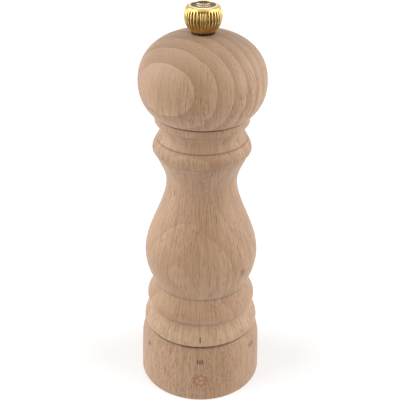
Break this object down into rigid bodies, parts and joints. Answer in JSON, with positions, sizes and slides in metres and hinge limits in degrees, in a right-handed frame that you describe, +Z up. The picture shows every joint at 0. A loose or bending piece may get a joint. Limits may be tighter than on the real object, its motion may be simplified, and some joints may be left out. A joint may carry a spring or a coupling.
{
  "type": "pepper mill",
  "caption": "Turned wooden pepper mill: ball head drives a burr mechanism, a foot ring sets the grind and a fluted knob holds the head on.",
  "frame": {"origin": "centre of the foot ring's underside, where the mill stands on a table", "axes": "+Z up along the shaft towards the knob, -Y towards the index mark at the front, +X to the right of it"},
  "size_m": [0.0566, 0.0566, 0.1799],
  "materials": {
    "beech": "raw turned beech, sanded, matt",
    "knob_brass": "satin, fluted",
    "badge": "dark, satin, pale ring",
    "black_plastic": "moulded, matt",
    "nylon": "moulded, natural white",
    "washer_brass": "turned",
    "aluminium": "drawn square rod, satin",
    "burr_steel": "hardened, machined teeth",
    "steel": "zinc plated"
  },
  "bodies": {
    "mill_body": {"body": "beech", "housing": "black_plastic", "housing_screw_1": "steel", "housing_screw_2": "steel", "housing_screw_3": "steel", "housing_clip": "steel", "outer_burr": "burr_steel", "guide_bridge": "steel", "detent_spring": "steel"},
    "ring": {"adjusting_ring": "beech", "ring_insert": "black_plastic", "ring_screw_1": "steel", "ring_screw_2": "steel", "ring_screw_3": "steel"},
    "carrier": {"carrier": "steel", "thrust_washer": "washer_brass"},
    "drive": {"shaft": "aluminium", "shaft_bush": "nylon", "shaft_clip_lower": "steel", "shaft_clip_upper": "steel", "burr_spring": "steel"},
    "burr": {"inner_burr": "burr_steel"},
    "head": {"head": "beech", "drive_plate": "steel", "plate_screw_1": "steel", "plate_screw_2": "steel"},
    "washer": {"knob_washer": "black_plastic"},
    "knob": {"knob": "knob_brass", "knob_badge": "badge"},
    "detent": {"detent_ball": "steel"}
  },
  "joints": [
    {"name": "grind_turn", "type": "hinge", "parent": "mill_body", "child": "drive", "pos_m": [0, 0, 0.05], "axis": [0, 0, 1], "continuous": true},
    {"name": "ring_turn", "type": "hinge", "parent": "mill_body", "child": "ring", "pos_m": [0, 0, 0.015], "axis": [0, 0, 1], "range_deg": [-180, 120]},
    {"name": "carrier_lift", "type": "slide", "parent": "mill_body", "child": "carrier", "axis": [0, 0, 1], "range_m": [-0.00109, 0.00073]},
    {"name": "burr_lift", "type": "slide", "parent": "drive", "child": "burr", "axis": [0, 0, 1], "range_m": [-0.00109, 0.00073], "deforming": ["burr_spring"]},
    {"name": "head_lift", "type": "slide", "parent": "drive", "child": "head", "axis": [0, 0, 1], "range_m": [0, 0.06]},
    {"name": "knob_lift", "type": "slide", "parent": "head", "child": "washer", "axis": [0, 0, 1], "range_m": [0, 0.00601]},
    {"name": "knob_turn", "type": "hinge", "parent": "washer", "child": "knob", "pos_m": [0, 0, 0.175], "axis": [0, 0, 1], "range_deg": [0, 2160]},
    {"name": "detent_push", "type": "slide", "parent": "mill_body", "child": "detent", "axis": [0, 0, 1], "range_m": [0, 0.0004], "stiffness_N_per_m": 200, "springref_m": -0.003, "deforming": ["detent_spring"]}
  ],
  "couplings": [
    {"joint": "carrier_lift", "follows": "ring_turn", "m_per_rad": 0.00034377},
    {"joint": "burr_lift", "follows": "ring_turn", "m_per_rad": 0.00034377},
    {"joint": "knob_lift", "follows": "knob_turn", "m_per_rad": 0.00015915}
  ]
}
